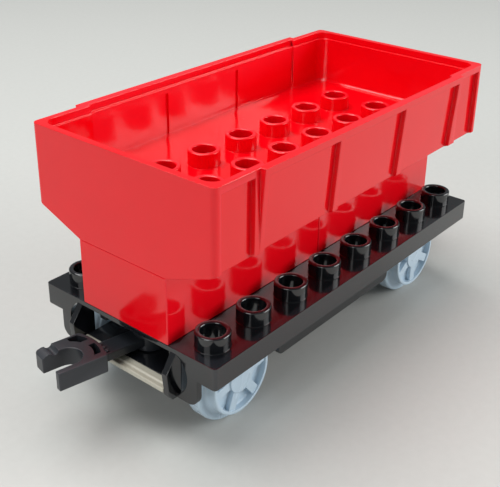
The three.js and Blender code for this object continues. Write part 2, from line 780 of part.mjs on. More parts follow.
// A solid as a mesh of its own with one plastic or metal.
function meshFrom(name, solid, finish) {
  const { vertProperties, triVerts } = solid.getMesh();
  const indexed = new THREE.BufferGeometry();
  indexed.setAttribute('position', new THREE.BufferAttribute(new Float32Array(vertProperties), 3));
  indexed.setIndex(new THREE.BufferAttribute(new Uint32Array(triVerts), 1));
  const geometry = indexed.toNonIndexed();
  geometry.computeVertexNormals();
  const mesh = new THREE.Mesh(geometry, new THREE.MeshStandardMaterial(finish));
  mesh.name = name;
  return mesh;
}

const blackPlastic = { color: 0x15161a, roughness: 0.22, metalness: 0 };
const hookPlastic = { color: 0x303238, roughness: 0.35, metalness: 0 };
const barPlastic = { color: 0xa9a79c, roughness: 0.45, metalness: 0 };
const wheelPlastic = { color: 0xa9bccb, roughness: 0.3, metalness: 0 };
const redPlastic = { color: 0xd4101c, roughness: 0.2, metalness: 0 };
const axleSteel = { color: 0xb8bcc0, roughness: 0.25, metalness: 1 };

const wagon = new THREE.Group();
wagon.name = 'wagon';
wagon.add(meshFrom('chassis', chassisSolid(), blackPlastic));

const hook = meshFrom('hook', hookSolid(), hookPlastic);
hook.position.set(-pivotX, 0, deckTop);
hook.rotation.z = THREE.MathUtils.degToRad(hookRestAngle);
wagon.add(hook);

const drawbar = meshFrom('rear_drawbar', drawbarSolid(), hookPlastic);
drawbar.position.set(pivotX, 0, deckTop);
wagon.add(drawbar);

for (const [name, turn] of [['front', Math.PI], ['rear', 0]]) {
  const keeper = meshFrom(`${name}_keeper`, keeperSolid(), blackPlastic);
  const bar = meshFrom(`${name}_end_bar`, endBarSolid(), barPlastic);
  keeper.rotation.z = turn;
  bar.rotation.z = turn;
  wagon.add(keeper, bar);
}

for (const [name, end, turn] of [['front', -1, frontSpokeTurn], ['rear', 1, rearSpokeTurn]]) {
  const wheelset = new THREE.Group();
  wheelset.name = `${name}_wheelset`;
  wheelset.position.set(end * axleX, 0, axleHeight);
  wheelset.add(meshFrom(`${name}_axle`, axleSolid(), axleSteel));
  const left = meshFrom(`${name}_wheel_left`, wheelSolid(turn), wheelPlastic);
  const right = meshFrom(`${name}_wheel_right`, wheelSolid(turn), wheelPlastic);
  right.rotation.z = Math.PI;
  wheelset.add(left, right);
  wagon.add(wheelset);
}

for (const [name, end] of [['brick_front', -1], ['brick_rear', 1]]) {
  const brick = meshFrom(name, brickSolid(), redPlastic);
  brick.position.set(end * brickStudsLong * studPitch / 2, 0, deckTop);
  wagon.add(brick);
}

const hopper = meshFrom('hopper', hopperSolid(), redPlastic);
hopper.position.z = hopperBaseZ;
wagon.add(hopper);

export default wagon;
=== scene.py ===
import math
import bmesh
import bpy
from mathutils import Matrix, Vector


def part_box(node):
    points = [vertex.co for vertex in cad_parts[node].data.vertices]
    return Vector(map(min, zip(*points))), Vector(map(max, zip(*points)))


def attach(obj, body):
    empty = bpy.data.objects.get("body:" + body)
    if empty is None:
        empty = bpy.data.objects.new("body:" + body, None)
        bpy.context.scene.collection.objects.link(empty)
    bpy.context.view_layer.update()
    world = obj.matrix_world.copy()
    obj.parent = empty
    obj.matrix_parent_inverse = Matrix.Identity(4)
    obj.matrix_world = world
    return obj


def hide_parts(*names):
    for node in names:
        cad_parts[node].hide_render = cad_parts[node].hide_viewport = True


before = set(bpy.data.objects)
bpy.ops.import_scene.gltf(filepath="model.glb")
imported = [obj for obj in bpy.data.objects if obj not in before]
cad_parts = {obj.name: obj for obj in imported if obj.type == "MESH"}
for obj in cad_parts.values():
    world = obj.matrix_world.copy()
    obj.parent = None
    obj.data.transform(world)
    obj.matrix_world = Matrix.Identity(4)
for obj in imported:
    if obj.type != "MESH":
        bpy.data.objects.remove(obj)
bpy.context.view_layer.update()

# ------------------------------------------------------------------ chassis
# The chassis is one black ABS moulding: a studded deck with a skirt round its edge, a hollow belly
# between the wheels, four saddles that the axles snap into, and at each end two deep legs with a
# cheek plate and a post for the coupling. Meshes are drawn in millimetres and scaled when placed.

MM = 1000.0
ROUND_STEPS = 40
STUD_PITCH = 16.0
STUD_RADIUS = 4.7
STUD_BORE = 3.3
STUD_HEIGHT = 4.4
STUD_EDGE = 0.45
DECK_PLATE = 1.5
DECK_CORNER = 1.0
SKIRT_HEIGHT = 6.5
SKIRT_WALL = 1.8
MOULD_EDGE = 0.22
CHEEK_REACH = 3.5
CHEEK_INNER = 16.8
CHEEK_WALL = 1.9
LEG_DEPTH = 14.5
LEG_OUTER = 25.8
LEG_CORNER = 3.0
WINDOW_TOP_DROP = 1.5
WINDOW_BOTTOM_DROP = 13.4
WINDOW_BULGE = 3.5
CHEEK_WHEEL_GAP = 0.8
CHEEK_FOOT_REACH = 1.4
CHEEK_CHIN_REACH = 2.8
CHEEK_CHIN_DROP = 12.8
CHEEK_NOSE_DROP = 6.0
SADDLE_OUTER = 14.5
SADDLE_WIDTH = 2.5
SADDLE_HALF = 3.6
SADDLE_LIP = 2.6
SADDLE_SLOT_HALF = 1.7
SADDLE_END_GAP = 4.0
SADDLE_WHEEL_GAP = 3.2
RUNNING_GAP = 0.08
BELLY_HALF_WIDTH = 24.0
BELLY_DEPTH = 18.3
BELLY_WHEEL_GAP = 2.7
BELLY_CORNER = 2.0
BELLY_WALL = 1.8
BELLY_RIB = 1.5
BELLY_CELLS = (4, 3)
POST_RADIUS = 2.3
POST_COLLAR = 4.0
POST_COLLAR_DROP = 3.6
POST_TAIL = 0.5
PIVOT_INSET = 8.9
KEEPER_TOP_DROP = 10.9
KEEPER_THICKNESS = 1.8
EJECTOR_RADIUS = 1.6
EJECTOR_DEPTH = 0.25

axle_low, axle_high = (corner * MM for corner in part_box("rear_axle"))
wheel_low, wheel_high = (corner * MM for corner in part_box("rear_wheel_left"))
chassis_low, chassis_high = (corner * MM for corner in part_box("chassis"))
axle_x = (axle_low.x + axle_high.x) / 2
axle_z = (axle_low.z + axle_high.z) / 2
axle_radius = (axle_high.z - axle_low.z) / 2
flange_radius = (wheel_high.z - wheel_low.z) / 2
deck_top = chassis_high.z - STUD_HEIGHT
deck_under = deck_top - DECK_PLATE
deck_end = chassis_high.x - CHEEK_REACH
deck_side = chassis_high.y
pivot_x = deck_end - PIVOT_INSET


def arc(centre, radius, start, end, steps):
    """Points on a circle from one angle to another, in degrees."""
    points = []
    for i in range(steps + 1):
        angle = math.radians(start + (end - start) * i / steps)
        points.append((centre[0] + radius * math.cos(angle), centre[1] + radius * math.sin(angle)))
    return points


def rounded_box_outline(half_u, half_v, radius):
    """A rectangle about the origin with round corners."""
    u, v = half_u - radius, half_v - radius
    return (arc((u, v), radius, 0, 90, 5) + arc((-u, v), radius, 90, 180, 5)
            + arc((-u, -v), radius, 180, 270, 5) + arc((u, -v), radius, 270, 360, 5))


def prism(outline, low, high, axis="z", edge=0.0):
    """A closed solid: an outline carried along an axis, its sharp edges rounded off."""
    place = {"x": lambda u, v, w: (w, u, v), "y": lambda u, v, w: (u, w, v),
             "z": lambda u, v, w: (u, v, w)}[axis]
    shape = bmesh.new()
    ring = [shape.verts.new(place(u, v, low)) for u, v in outline]
    base = shape.faces.new(ring)
    raised = bmesh.ops.extrude_face_region(shape, geom=[base])
    lifted = [item for item in raised["geom"] if isinstance(item, bmesh.types.BMVert)]
    bmesh.ops.translate(shape, verts=lifted, vec=Vector(place(0, 0, high - low)))
    bmesh.ops.recalc_face_normals(shape, faces=shape.faces)
    if edge:
        sharp = [e for e in shape.edges if e.calc_face_angle(0.0) > math.radians(30)]
        bmesh.ops.bevel(shape, geom=sharp, offset=edge, segments=3, profile=0.5,
                        affect="EDGES", clamp_overlap=True)
    mesh = bpy.data.meshes.new("prism")
    shape.to_mesh(mesh)
    shape.free()
    return mesh


def slab(x0, x1, y0, y1, z0, z1, edge=0.0):
    """A closed block between two corners."""
    return prism([(x0, y0), (x1, y0), (x1, y1), (x0, y1)], z0, z1, "z", edge)


def turned(profile, steps=ROUND_STEPS, closed=False):
    """A solid turned about Z from (radius, height) points; radius 0 ends a profile on the axis."""
    shape = bmesh.new()
    rings = []
    for radius, height in profile:
        if radius < 1e-6:
            rings.append([shape.verts.new((0, 0, height))])
            continue
        turns = [2 * math.pi * i / steps for i in range(steps)]
        rings.append([shape.verts.new((radius * math.cos(t), radius * math.sin(t), height))
                      for t in turns])
    pairs = list(zip(rings, rings[1:])) + ([(rings[-1], rings[0])] if closed else [])
    for first, second in pairs:
        for i in range(steps):
            j = (i + 1) % steps
            corners = [first[i % len(first)], first[j % len(first)],
                       second[j % len(second)], second[i % len(second)]]
            shape.faces.new(list(dict.fromkeys(corners)))
    bmesh.ops.recalc_face_normals(shape, faces=shape.faces)
    mesh = bpy.data.meshes.new("turned")
    shape.to_mesh(mesh)
    shape.free()
    return mesh


def moved(mesh, x=0.0, y=0.0, z=0.0, matrix=None):
    """A copy of a mesh, turned by the matrix and then shifted."""
    copy = mesh.copy()
    copy.transform(Matrix.Translation((x, y, z)) @ (matrix or Matrix.Identity(4)))
    if matrix is not None and matrix.determinant() < 0:
        copy.flip_normals()
    return copy


def gathered(meshes):
    """Separate shells in one mesh, for shells that do not touch."""
    shape = bmesh.new()
    for mesh in meshes:
        shape.from_mesh(mesh)
    whole = bpy.data.meshes.new("gathered")
    shape.to_mesh(whole)
    shape.free()
    return whole


def combined(base, tool, operation):
    """One closed mesh from two: UNION, DIFFERENCE or INTERSECT."""
    workpiece = bpy.data.objects.new("workpiece", base)
    cutter = bpy.data.objects.new("cutter", tool)
    for item in (workpiece, cutter):
        bpy.context.scene.collection.objects.link(item)
    step = workpiece.modifiers.new("combine", "BOOLEAN")
    step.object = cutter
    step.operation = operation
    step.solver = "MANIFOLD"
    result = bpy.data.meshes.new_from_object(
        workpiece.evaluated_get(bpy.context.evaluated_depsgraph_get()))
    for item in (workpiece, cutter):
        bpy.data.objects.remove(item)
    return result


def joined(base, *parts):
    for part in parts:
        base = combined(base, part, "UNION")
    return base


def cut(base, *tools):
    for tool in tools:
        base = combined(base, tool, "DIFFERENCE")
    return base


def softened(mesh, width, segments=2):
    """Rounds every sharp edge of a finished solid by a small width, as a mould does."""
    shape = bmesh.new()
    shape.from_mesh(mesh)
    bmesh.ops.dissolve_limit(shape, angle_limit=math.radians(0.6), verts=shape.verts,
                             edges=shape.edges)
    flat = bpy.data.meshes.new("softened")
    shape.to_mesh(flat)
    shape.free()
    holder = bpy.data.objects.new("holder", flat)
    bpy.context.scene.collection.objects.link(holder)
    step = holder.modifiers.new("edges", "BEVEL")
    step.width = width
    step.segments = segments
    step.limit_method = "ANGLE"
    step.angle_limit = math.radians(40)
    step.use_clamp_overlap = False
    result = bpy.data.meshes.new_from_object(
        holder.evaluated_get(bpy.context.evaluated_depsgraph_get()))
    bpy.data.objects.remove(holder)
    return result


def stud_centres(count_long, count_wide, middle_x=0.0):
    """Stud places on the 16 mm grid about a middle."""
    return [(middle_x + (i - (count_long - 1) / 2) * STUD_PITCH,
             (j - (count_wide - 1) / 2) * STUD_PITCH)
            for i in range(count_long) for j in range(count_wide)]


def studded(mesh, centres, top, plate):
    """Adds hollow studs with rounded lips, and runs their bores through the plate."""
    lip = arc((STUD_RADIUS - STUD_EDGE, STUD_HEIGHT - STUD_EDGE), STUD_EDGE, 0, 90, 4)
    stud = turned([(0, -0.6), (STUD_RADIUS + 0.25, -0.6), (STUD_RADIUS + 0.25, 0.0),
                   (STUD_RADIUS + 0.07, 0.08), (STUD_RADIUS, 0.25)] + lip + [(0, STUD_HEIGHT)])
    mouth = arc((STUD_BORE + STUD_EDGE, STUD_HEIGHT - STUD_EDGE), STUD_EDGE, 180, 90, 4)
    bore = turned([(0, -plate - 2.0), (STUD_BORE, -plate - 2.0)] + mouth
                  + [(STUD_BORE + STUD_EDGE, STUD_HEIGHT + 1.0), (0, STUD_HEIGHT + 1.0)])
    studs = gathered([moved(stud, x, y, top) for x, y in centres])
    bores = gathered([moved(bore, x, y, top) for x, y in centres])
    return cut(joined(mesh, studs), bores)


def mirrored(mesh, end, side):
    return moved(mesh, matrix=Matrix.Diagonal((end, side, 1, 1)))


def chassis_shell():
    """Deck, skirt, legs with their windows, and cheeks."""
    tray = prism(rounded_box_outline(deck_end, deck_side, DECK_CORNER),
                 deck_top - SKIRT_HEIGHT, deck_top)
    room = prism(rounded_box_outline(deck_end - SKIRT_WALL, deck_side - SKIRT_WALL, 0.6),
                 deck_top - SKIRT_HEIGHT - 1, deck_under)
    shell = cut(tray, room)
    inner = deck_end - SKIRT_WALL
    door = slab(inner - 1, deck_end + 1, -CHEEK_INNER, CHEEK_INNER, 0, deck_under)
    leg_bottom = deck_top - LEG_DEPTH
    leg = prism([(CHEEK_INNER, leg_bottom)]
                + arc((LEG_OUTER - LEG_CORNER, leg_bottom + LEG_CORNER), LEG_CORNER, 270, 360, 8)
                + [(LEG_OUTER, deck_under + 0.5), (CHEEK_INNER, deck_under + 0.5)],
                inner, deck_end, "x")
    top, bottom = deck_top - WINDOW_TOP_DROP, deck_top - WINDOW_BOTTOM_DROP
    radius = ((top - bottom) ** 2 / 4 + WINDOW_BULGE ** 2) / (2 * WINDOW_BULGE)
    reach = math.degrees(math.asin((top - bottom) / 2 / radius))
    centre = (CHEEK_INNER + CHEEK_WALL + WINDOW_BULGE - radius, (top + bottom) / 2)
    window = prism(arc(centre, radius, -reach, reach, 14), inner - 1, deck_end + 1, "x")
    back = axle_x + flange_radius + CHEEK_WHEEL_GAP
    cheek = prism([(back, leg_bottom), (deck_end + CHEEK_FOOT_REACH, leg_bottom),
                   (deck_end + CHEEK_CHIN_REACH, deck_top - CHEEK_CHIN_DROP),
                   (deck_end + CHEEK_REACH, deck_top - CHEEK_NOSE_DROP),
                   (deck_end, deck_under + 0.25), (back, deck_under + 0.25)],
                  CHEEK_INNER, CHEEK_INNER + CHEEK_WALL, "y")
    for end in (-1, 1):
        shell = cut(shell, mirrored(door, end, 1))
        for side in (-1, 1):
            shell = joined(shell, mirrored(leg, end, side))
            shell = cut(shell, mirrored(window, end, side))
            shell = joined(shell, mirrored(cheek, end, side))
    return softened(shell, MOULD_EDGE)


def saddle():
    """Rib under the deck with the open-bottomed seat of an axle."""
    seat = arc((axle_x, axle_z), axle_radius + RUNNING_GAP, 205, -25, 24)
    lip, rib_bottom, rib_top = axle_z - SADDLE_LIP, deck_top - SKIRT_HEIGHT, deck_under + 0.4
    far, near = deck_end - SADDLE_END_GAP, axle_x - flange_radius - SADDLE_WHEEL_GAP
    outline = [(axle_x - SADDLE_HALF, lip), (axle_x - SADDLE_SLOT_HALF, lip)]
    outline += [(axle_x - SADDLE_SLOT_HALF, seat[0][1])] + seat[1:-1]
    outline += [(axle_x + SADDLE_SLOT_HALF, seat[-1][1]), (axle_x + SADDLE_SLOT_HALF, lip)]
    outline += [(axle_x + SADDLE_HALF, lip), (axle_x + SADDLE_HALF, rib_bottom), (far, rib_bottom),
                (far, rib_top), (near, rib_top), (near, rib_bottom),
                (axle_x - SADDLE_HALF, rib_bottom)]
    return prism(outline, SADDLE_OUTER - SADDLE_WIDTH, SADDLE_OUTER, "y", 0.2)


def belly():
    """Hollow box between the wheels, with a grid of ribs inside."""
    half = axle_x - flange_radius - BELLY_WHEEL_GAP
    bottom = deck_top - BELLY_DEPTH
    corner_x, corner_z = half - BELLY_CORNER, bottom + BELLY_CORNER
    outline = (arc((-corner_x, corner_z), BELLY_CORNER, 180, 270, 6)
               + arc((corner_x, corner_z), BELLY_CORNER, 270, 360, 6)
               + [(half, deck_under + 0.4), (-half, deck_under + 0.4)])
    box = prism(outline, -BELLY_HALF_WIDTH, BELLY_HALF_WIDTH, "y", 0.3)
    along, across = BELLY_CELLS
    room_x, room_y = 2 * (half - BELLY_WALL), 2 * (BELLY_HALF_WIDTH - BELLY_WALL)
    cell_x = (room_x - (along - 1) * BELLY_RIB) / along
    cell_y = (room_y - (across - 1) * BELLY_RIB) / across
    cells = []
    for i in range(along):
        for j in range(across):
            x0 = -room_x / 2 + i * (cell_x + BELLY_RIB)
            y0 = -room_y / 2 + j * (cell_y + BELLY_RIB)
            cells.append(slab(x0, x0 + cell_x, y0, y0 + cell_y, bottom - 1, deck_under - 0.001))
    return cut(box, gathered(cells))


def chassis_mesh():
    mesh = joined(chassis_shell(), belly())
    tail = deck_top - KEEPER_TOP_DROP - KEEPER_THICKNESS - POST_TAIL
    collar = deck_top - POST_COLLAR_DROP
    post = turned([(0, tail), (POST_RADIUS - 0.3, tail), (POST_RADIUS, tail + 0.3),
                   (POST_RADIUS, collar), (POST_COLLAR - 0.2, collar),
                   (POST_COLLAR, collar + 0.2), (POST_COLLAR, deck_under + 0.4),
                   (0, deck_under + 0.4)])
    for end in (-1, 1):
        mesh = joined(mesh, moved(post, end * pivot_x))
        for side in (-1, 1):
            mesh = joined(mesh, mirrored(saddle(), end, side))
    pin = turned([(0, -1), (EJECTOR_RADIUS, -1), (EJECTOR_RADIUS, EJECTOR_DEPTH),
                  (0, EJECTOR_DEPTH)], 20)
    marks = [moved(pin, x, y, deck_under) for x in (-48, 48) for y in (-8, 8)]
    mesh = cut(mesh, gathered(marks))
    return studded(mesh, stud_centres(8, 4), deck_top, DECK_PLATE)


def linear(hex_colour):
    """An sRGB hex colour as linear red, green and blue."""
    channels = [int(hex_colour[i:i + 2], 16) / 255 for i in (1, 3, 5)]
    return [c / 12.92 if c <= 0.04045 else ((c + 0.055) / 1.055) ** 2.4 for c in channels] + [1.0]


def add(tree, kind, settings=(), **links):
    """Adds a node, gives it its settings, and links the named inputs from other nodes' outputs."""
    node = tree.nodes.new(kind)
    for name, value in dict(settings).items():
        if name in node.inputs:
            node.inputs[name].default_value = value
        else:
            setattr(node, name, value)
    for name, socket in links.items():
        tree.links.new(node.inputs[name.replace("_", " ")], socket)
    return node


def per_millimetre(size):
    """Texture scale, in repeats per metre, for a feature of this size in millimetres."""
    return MM / size


def moulded_plastic(name, colour, shade, worn, roughness, ior, waviness=0.02):
    """Injection-moulded plastic: a faint mottle in the colour, patches of handling that dull the
    gloss, hairline scratches, a very slight waviness from the mould, and edges rubbed paler."""
    material = bpy.data.materials.new(name)
    material.use_nodes = True
    tree = material.node_tree
    shader = tree.nodes["Principled BSDF"]
    shader.inputs["IOR"].default_value = ior
    place = add(tree, "ShaderNodeTexCoord").outputs["Object"]
    mottle = add(tree, "ShaderNodeTexNoise", {"Scale": per_millimetre(14), "Detail": 3.0},
                 Vector=place)
    tint = add(tree, "ShaderNodeMix", {"data_type": "RGBA"}, Factor=mottle.outputs["Fac"])
    tint.inputs[6].default_value = linear(colour)
    tint.inputs[7].default_value = linear(shade)
    edges = add(tree, "ShaderNodeMapRange",
                {"From Min": 0.53, "From Max": 0.62, "To Min": 0.0, "To Max": 0.35},
                Value=add(tree, "ShaderNodeNewGeometry").outputs["Pointiness"])
    rubbed = add(tree, "ShaderNodeMix", {"data_type": "RGBA"}, Factor=edges.outputs["Result"])
    tree.links.new(rubbed.inputs[6], tint.outputs[2])
    rubbed.inputs[7].default_value = linear(worn)
    tree.links.new(shader.inputs["Base Color"], rubbed.outputs[2])
    along = add(tree, "ShaderNodeMapping", {"Scale": (0.12, 1.0, 0.5), "Rotation": (0.3, 0.5, 0.8)},
                Vector=place)
    hair = add(tree, "ShaderNodeTexNoise", {"Scale": per_millimetre(0.9), "Detail": 5.0,
               "Roughness": 0.7}, Vector=along.outputs["Vector"])
    scratch = add(tree, "ShaderNodeMapRange",
                  {"From Min": 0.66, "From Max": 0.74, "To Min": 0.0, "To Max": 0.16},
                  Value=hair.outputs["Fac"])
    touch = add(tree, "ShaderNodeTexNoise", {"Scale": per_millimetre(22), "Detail": 4.0,
                "Distortion": 0.6}, Vector=place)
    dull = add(tree, "ShaderNodeMapRange",
               {"From Min": 0.35, "From Max": 0.75, "To Min": roughness,
                "To Max": roughness + 0.1}, Value=touch.outputs["Fac"])
    gloss = add(tree, "ShaderNodeMath", {"operation": "ADD"})
    tree.links.new(gloss.inputs[0], dull.outputs["Result"])
    tree.links.new(gloss.inputs[1], scratch.outputs["Result"])
    tree.links.new(shader.inputs["Roughness"], gloss.outputs["Value"])
    wave = add(tree, "ShaderNodeTexNoise", {"Scale": per_millimetre(7), "Detail": 1.0},
               Vector=place)
    swell = add(tree, "ShaderNodeBump", {"Strength": 1.0, "Distance": waviness / MM},
                Height=wave.outputs["Fac"])
    fine = add(tree, "ShaderNodeBump", {"Strength": 0.5, "Distance": 0.01 / MM},
               Height=scratch.outputs["Result"], Normal=swell.outputs["Normal"])
    tree.links.new(shader.inputs["Normal"], fine.outputs["Normal"])
    return material


def piece(name, mesh, body, node, material):
    """Places a finished mesh as a piece of the object that stands for a CAD node."""
    mesh.transform(Matrix.Scale(1 / MM, 4))
    mesh.materials.clear()
    mesh.materials.append(material)
    mesh.shade_smooth()
    mesh.set_sharp_from_angle(angle=math.radians(36))
    item = bpy.data.objects.new(name, mesh)
    bpy.context.scene.collection.objects.link(item)
    even = item.modifiers.new("flat faces", "WEIGHTED_NORMAL")
    even.keep_sharp = True
    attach(item, body)
    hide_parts(node)
    return item


# Polished tooling makes the black mirror-like. Its index is set above the 1.54 of real ABS, to
# brighten what the deck and studs reflect.
black_abs = moulded_plastic("black gloss ABS, moulded", "#0b0c0f", "#101216", "#34363c", 0.08, 1.7)
piece("chassis_moulding", chassis_mesh(), "chassis", "chassis", black_abs)

# ------------------------------------------------------------------ hook coupling
# The hook is dark grey acetal, moulded in one: an eye that turns on the front post, a flat stem and
# a claw head. Two pockets are cored out of the head's back to keep its wall even.

HOOK_TURN = -11.7
HOOK_TOP = -3.8
HOOK_BOTTOM = -9.1
HEAD_START = 18.4
HEAD_WIDTH = 13.4
HEAD_AXIS = 6.7
RIGHT_ARM = 1.85
LEFT_ARM = 4.2
JAW_DEPTH = 3.0
STEM_TOP = -6.5
STEM_BOTTOM = -9.0
STEM_HALF = 3.0
STEM_EDGE = 0.3
HEAD_LENGTH = 12.0
POCKET_DEPTH = 3.4
NOTCH_REACH = 8.4
NOTCH_RADIUS = 1.1
TIP_REACH = 9.3
EYE_RADIUS = 4.6
EYE_TOP = -3.9
EYE_BOTTOM = -10.6

left_inner = HEAD_WIDTH - LEFT_ARM
jaw_radius = (left_inner - RIGHT_ARM) / 2
jaw_middle = RIGHT_ARM + jaw_radius


def hook_point(reach, across):
    """A point of the head from its reach past the collar and its distance from the right face."""
    return (-(HEAD_START + reach), across - HEAD_AXIS)


def eye_mesh():
    """Round eye with a bore, its rims rounded."""
    soft = 0.3
    profile = [(POST_RADIUS + RUNNING_GAP, EYE_BOTTOM + soft), (POST_RADIUS + RUNNING_GAP + soft, EYE_BOTTOM)]
    profile += arc((EYE_RADIUS - soft, EYE_BOTTOM + soft), soft, 270, 360, 3)
    profile += arc((EYE_RADIUS - soft, EYE_TOP - soft), soft, 0, 90, 3)
    profile += [(POST_RADIUS + RUNNING_GAP + soft, EYE_TOP), (POST_RADIUS + RUNNING_GAP, EYE_TOP - soft)]
    return turned(profile, closed=True)


def stem_mesh(reach):
    """Flat stem from inside the eye out to a reach, toward -X."""
    return slab(-reach, -POST_RADIUS - 1.0, -STEM_HALF, STEM_HALF, STEM_BOTTOM, STEM_TOP,
                STEM_EDGE)


def head_mesh():
    back = [(-1.3, 0), (-1.7, 0.2), (-1.9, 0.7), (-2.25, 2.6), (-2.5, 4.2), (-2.6, 5.4),
            (-2.6, 7.2), (-2.4, 8.8), (-1.9, 10.8), (-1.2, 12.5), (-0.8, 13.1), (-0.2, HEAD_WIDTH)]
    jaw = [(JAW_DEPTH + jaw_radius * (1 - math.sin(math.radians(step))),
            jaw_middle + jaw_radius * math.cos(math.radians(step))) for step in range(0, 181, 9)]
    outline = back + [(11.6, HEAD_WIDTH), (HEAD_LENGTH, HEAD_WIDTH - 0.5),
                       (HEAD_LENGTH, left_inner)]
    outline += jaw + [(12.1, RIGHT_ARM), (12.1, 0)]
    head = prism([hook_point(*p) for p in outline], HOOK_BOTTOM, HOOK_TOP, "z", 0.28)
    room = [(-0.8, RIGHT_ARM + 0.1), (-1.2, 2.9), (-1.5, 4.2), (-1.6, 5.4), (-1.6, 7.2),
            (-1.4, 8.6), (-0.8, 10.5), (0.3, HEAD_WIDTH - 0.9), (3.2, HEAD_WIDTH - 0.9),
            (3.2, RIGHT_ARM + 0.1)]
    pocket = prism([hook_point(*p) for p in room], HOOK_TOP - POCKET_DEPTH, HOOK_TOP + 1)
    collar = turned([(0, -12), (jaw_radius + 2.9, -12), (jaw_radius + 2.9, 0), (0, 0)])
    collar_x, collar_y = hook_point(JAW_DEPTH + jaw_radius, jaw_middle)
    web = slab(-HEAD_START - 10, -HEAD_START + 10, 0.0, 2.4, -12, 0)
    pocket = cut(pocket, moved(collar, collar_x, collar_y), web)
    notch_x = hook_point(NOTCH_REACH, 0)[0]
    notch = prism(arc((notch_x, HOOK_TOP + 0.1), NOTCH_RADIUS, 180, 360, 12)
                  + [(notch_x + NOTCH_RADIUS, HOOK_TOP + 1), (notch_x - NOTCH_RADIUS, HOOK_TOP + 1)],
                  left_inner - HEAD_AXIS - 1, HEAD_AXIS + 1, "y")
    tip_x = hook_point(TIP_REACH, 0)[0]
    crown = [(tip_x + 0.3, HOOK_TOP + 1), (tip_x + 0.3, HOOK_TOP - 0.35),
             (tip_x - 0.8, HOOK_TOP - 0.2), (tip_x - 1.8, HOOK_TOP - 0.45),
             (tip_x - 3.5, HOOK_TOP - 1.5), (tip_x - 3.5, HOOK_TOP + 1)]
    tip = prism(crown, left_inner - HEAD_AXIS - 1, HEAD_AXIS + 1, "y")
    return cut(head, pocket, notch, tip)


def hook_mesh():
    mesh = joined(head_mesh(), stem_mesh(HEAD_START - 2.1), eye_mesh())
    bump = turned([(0, -0.5), (0.7, -0.5), (0.7, 0.25), (0.45, 0.5), (0, 0.55)], 20)
    bumps = [moved(bump, -HEAD_START + 4.2, y, STEM_TOP) for y in (-1.7, 0, 1.7)]
    mesh = joined(mesh, gathered(bumps))
    turn = Matrix.Rotation(math.radians(HOOK_TURN), 4, "Z")
    return moved(mesh, -pivot_x, 0, deck_top, turn)


dark_acetal = moulded_plastic("dark grey acetal, moulded", "#1d2024", "#26292e", "#5a5c62",
                              0.3, 1.48, 0.008)
piece("hook_claw", hook_mesh(), "hook", "hook", dark_acetal)

# ------------------------------------------------------------------ rear drawbar
# The rear tongue is the same dark acetal. It turns on the rear post, steps down past the end of the
# deck and carries an upright pin that the next wagon's hook grips.

PIN_REACH = 25.0
PIN_RADIUS = 3.3
PIN_TOP = -3.2
FOOT_TOP = -9.7
FOOT_BOTTOM = -12.2
STEP_REACH = 14.6
STEP_LENGTH = 2.5
PAD_RADIUS = 4.2
PIN_EDGE = 0.6
GUSSET_HALF = 0.7


def drawbar_mesh():
    stem = moved(stem_mesh(STEP_REACH + STEP_LENGTH), matrix=Matrix.Rotation(math.pi, 4, "Z"))
    step = slab(STEP_REACH, STEP_REACH + STEP_LENGTH, -STEM_HALF, STEM_HALF, FOOT_BOTTOM,
                STEM_BOTTOM + 1, STEM_EDGE)
    foot = slab(STEP_REACH, PIN_REACH, -STEM_HALF, STEM_HALF, FOOT_BOTTOM, FOOT_TOP, STEM_EDGE)
    pad = turned([(0, FOOT_BOTTOM)] + arc((PAD_RADIUS, FOOT_BOTTOM + STEM_EDGE), STEM_EDGE, 270, 360, 3)
                 + arc((PAD_RADIUS, FOOT_TOP - STEM_EDGE), STEM_EDGE, 0, 90, 3) + [(0, FOOT_TOP)])
    pin = turned([(0, FOOT_BOTTOM + 0.5), (PIN_RADIUS, FOOT_BOTTOM + 0.5)]
                 + arc((PIN_RADIUS - PIN_EDGE, PIN_TOP - PIN_EDGE), PIN_EDGE, 0, 90, 5) + [(0, PIN_TOP)])
    gusset = prism([(PIN_REACH - 6.5, FOOT_TOP - 0.3), (PIN_REACH - 2, FOOT_TOP - 0.3),
                    (PIN_REACH - 2, FOOT_TOP + 3.2)], -GUSSET_HALF, GUSSET_HALF, "y", 0.15)
    mesh = joined(stem, step, foot, moved(pad, PIN_REACH), moved(pin, PIN_REACH), gusset)
    return moved(joined(mesh, eye_mesh()), pivot_x, 0, deck_top)


piece("rear_tongue", drawbar_mesh(), "drawbar", "rear_drawbar", dark_acetal)

# ------------------------------------------------------------------ keeper plates and end bars
# A plate is pushed onto the end of each post between the cheeks and holds the eye of the
# coupling up. It is made black as painted shade for the deep shadow under the deck behind the
# bar; what really lies there is a guess. Along its outer edge lies a bar of pale grey styrene,
# which satin tooling leaves dull.

KEEPER_GAP = 0.3
KEEPER_BACK = 4.3
KEEPER_CORNER = 1.2
PRESS_GAP = 0.02
BAR_LEDGE = 2.0
BAR_DEPTH = 3.6
BAR_EDGE = 0.35
BAR_STEP = 0.35

satin_styrene = moulded_plastic("pale grey styrene, satin moulded", "#a8a494", "#b3af9f", "#c9c6b8",
                                0.4, 1.59, 0.004)
bar_low, bar_high = (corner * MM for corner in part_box("rear_end_bar"))
bar_back = bar_high.x - BAR_DEPTH


